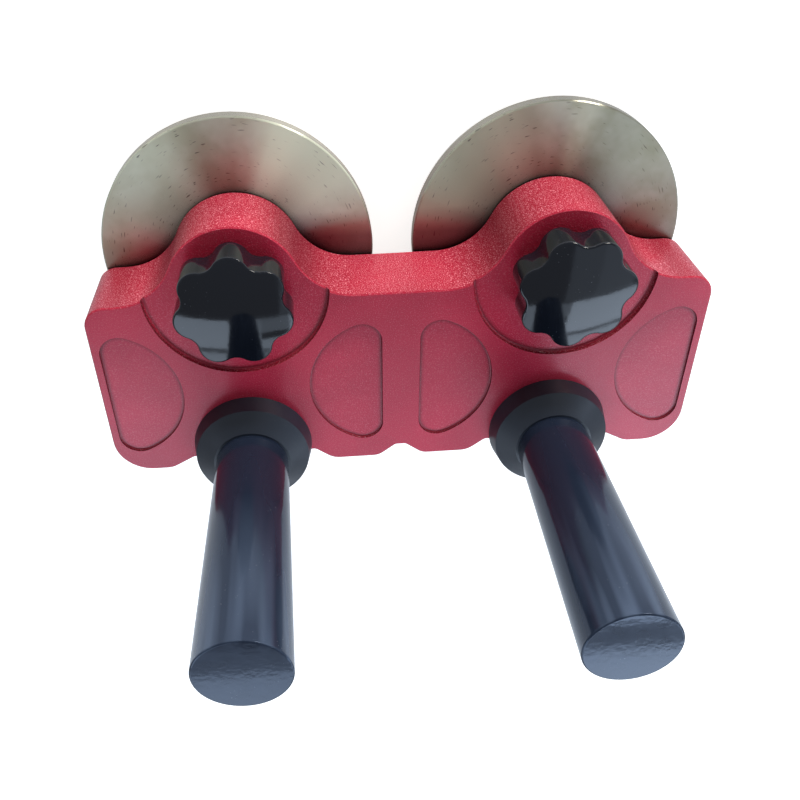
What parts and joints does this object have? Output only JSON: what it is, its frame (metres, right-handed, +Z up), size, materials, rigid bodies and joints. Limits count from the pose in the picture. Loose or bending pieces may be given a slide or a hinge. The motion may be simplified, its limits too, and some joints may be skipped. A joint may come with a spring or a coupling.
{
  "type": "sheet metal edge bender",
  "caption": "Hand-held edge bender: a domed red machined block over paired steel bending discs, with star knobs that open the slot between the discs and upright round grips.",
  "frame": {"origin": "on the floor under the middle of the tool, which stands on its rear discs with both grips up", "axes": "+X from the left unit to the right one, +Y from the handles towards the discs, +Z up along the disc axes and grips"},
  "size_m": [0.225, 0.1412, 0.1542],
  "materials": {
    "red_anodised_aluminium": "bead-blasted, red anodised, satin with sparkling grain",
    "ground_stainless_steel": "face-ground with fine circular marks, polished rim",
    "sintered_bronze": "oil-filled sintered bronze, matt",
    "phosphated_spring_steel": "grey-black phosphate",
    "spring_steel": "drawn wire, oiled",
    "zinc_plated_steel": "bright zinc plate",
    "turned_steel": "fine turned",
    "black_oxide_steel": "black oxide, oiled",
    "black_phenolic": "polished moulding",
    "turned_brass": "turned",
    "satin_black_plastic": "satin moulding",
    "gloss_black_plastic": "polished, blue-black"
  },
  "bodies": {
    "frame": {"body": "red_anodised_aluminium", "left_hub_sleeve": "turned_steel", "left_hub_screws": "black_oxide_steel", "left_front_retaining_ring": "phosphated_spring_steel", "left_guide_bush": "sintered_bronze", "left_knob_washer": "zinc_plated_steel", "left_gap_spring": "spring_steel", "left_handle_collar": "satin_black_plastic", "left_grip": "gloss_black_plastic", "left_grip_insert": "turned_brass", "left_handle_washer": "zinc_plated_steel", "left_handle_bolt": "black_oxide_steel", "right_hub_sleeve": "turned_steel", "right_hub_screws": "black_oxide_steel", "right_front_retaining_ring": "phosphated_spring_steel", "right_guide_bush": "sintered_bronze", "right_knob_washer": "zinc_plated_steel", "right_gap_spring": "spring_steel", "right_handle_collar": "satin_black_plastic", "right_grip": "gloss_black_plastic", "right_grip_insert": "turned_brass", "right_handle_washer": "zinc_plated_steel", "right_handle_bolt": "black_oxide_steel"},
    "left_knob_unit": {"left_star_knob": "black_phenolic", "left_knob_insert": "turned_brass"},
    "left_spindle_unit": {"left_spindle": "turned_steel", "left_spindle_key": "turned_steel", "left_rear_thrust_washer": "zinc_plated_steel", "left_rear_retaining_ring": "phosphated_spring_steel"},
    "left_front_wheel": {"left_front_disc": "ground_stainless_steel", "left_front_disc_bush": "sintered_bronze"},
    "left_rear_wheel": {"left_rear_disc": "ground_stainless_steel", "left_rear_disc_bush": "sintered_bronze"},
    "right_knob_unit": {"right_star_knob": "black_phenolic", "right_knob_insert": "turned_brass"},
    "right_spindle_unit": {"right_spindle": "turned_steel", "right_spindle_key": "turned_steel", "right_rear_thrust_washer": "zinc_plated_steel", "right_rear_retaining_ring": "phosphated_spring_steel"},
    "right_front_wheel": {"right_front_disc": "ground_stainless_steel", "right_front_disc_bush": "sintered_bronze"},
    "right_rear_wheel": {"right_rear_disc": "ground_stainless_steel", "right_rear_disc_bush": "sintered_bronze"}
  },
  "joints": [
    {"name": "left_knob_turn", "type": "hinge", "parent": "frame", "child": "left_knob_unit", "pos_m": [-0.0583, 0.0199, 0.05605], "axis": [0, 0, 1], "range_deg": [0, 720]},
    {"name": "left_spindle_slide", "type": "slide", "parent": "frame", "child": "left_spindle_unit", "axis": [0, 0, -1], "range_m": [0, 0.003], "deforming": ["left_gap_spring"]},
    {"name": "left_front_disc_spin", "type": "hinge", "parent": "frame", "child": "left_front_wheel", "pos_m": [-0.0583, 0.0199, 0.0105], "axis": [0, 0, 1], "continuous": true},
    {"name": "left_rear_disc_spin", "type": "hinge", "parent": "left_spindle_unit", "child": "left_rear_wheel", "pos_m": [-0.0583, 0.0199, 0.003], "axis": [0, 0, 1], "continuous": true},
    {"name": "right_knob_turn", "type": "hinge", "parent": "frame", "child": "right_knob_unit", "pos_m": [0.0583, 0.0199, 0.05605], "axis": [0, 0, 1], "range_deg": [0, 720]},
    {"name": "right_spindle_slide", "type": "slide", "parent": "frame", "child": "right_spindle_unit", "axis": [0, 0, -1], "range_m": [0, 0.003], "deforming": ["right_gap_spring"]},
    {"name": "right_front_disc_spin", "type": "hinge", "parent": "frame", "child": "right_front_wheel", "pos_m": [0.0583, 0.0199, 0.0105], "axis": [0, 0, 1], "continuous": true},
    {"name": "right_rear_disc_spin", "type": "hinge", "parent": "right_spindle_unit", "child": "right_rear_wheel", "pos_m": [0.0583, 0.0199, 0.003], "axis": [0, 0, 1], "continuous": true}
  ],
  "couplings": [
    {"joint": "left_knob_turn", "follows": "left_spindle_slide", "rad_per_m": 4188.8},
    {"joint": "right_knob_turn", "follows": "right_spindle_slide", "rad_per_m": 4188.8}
  ]
}
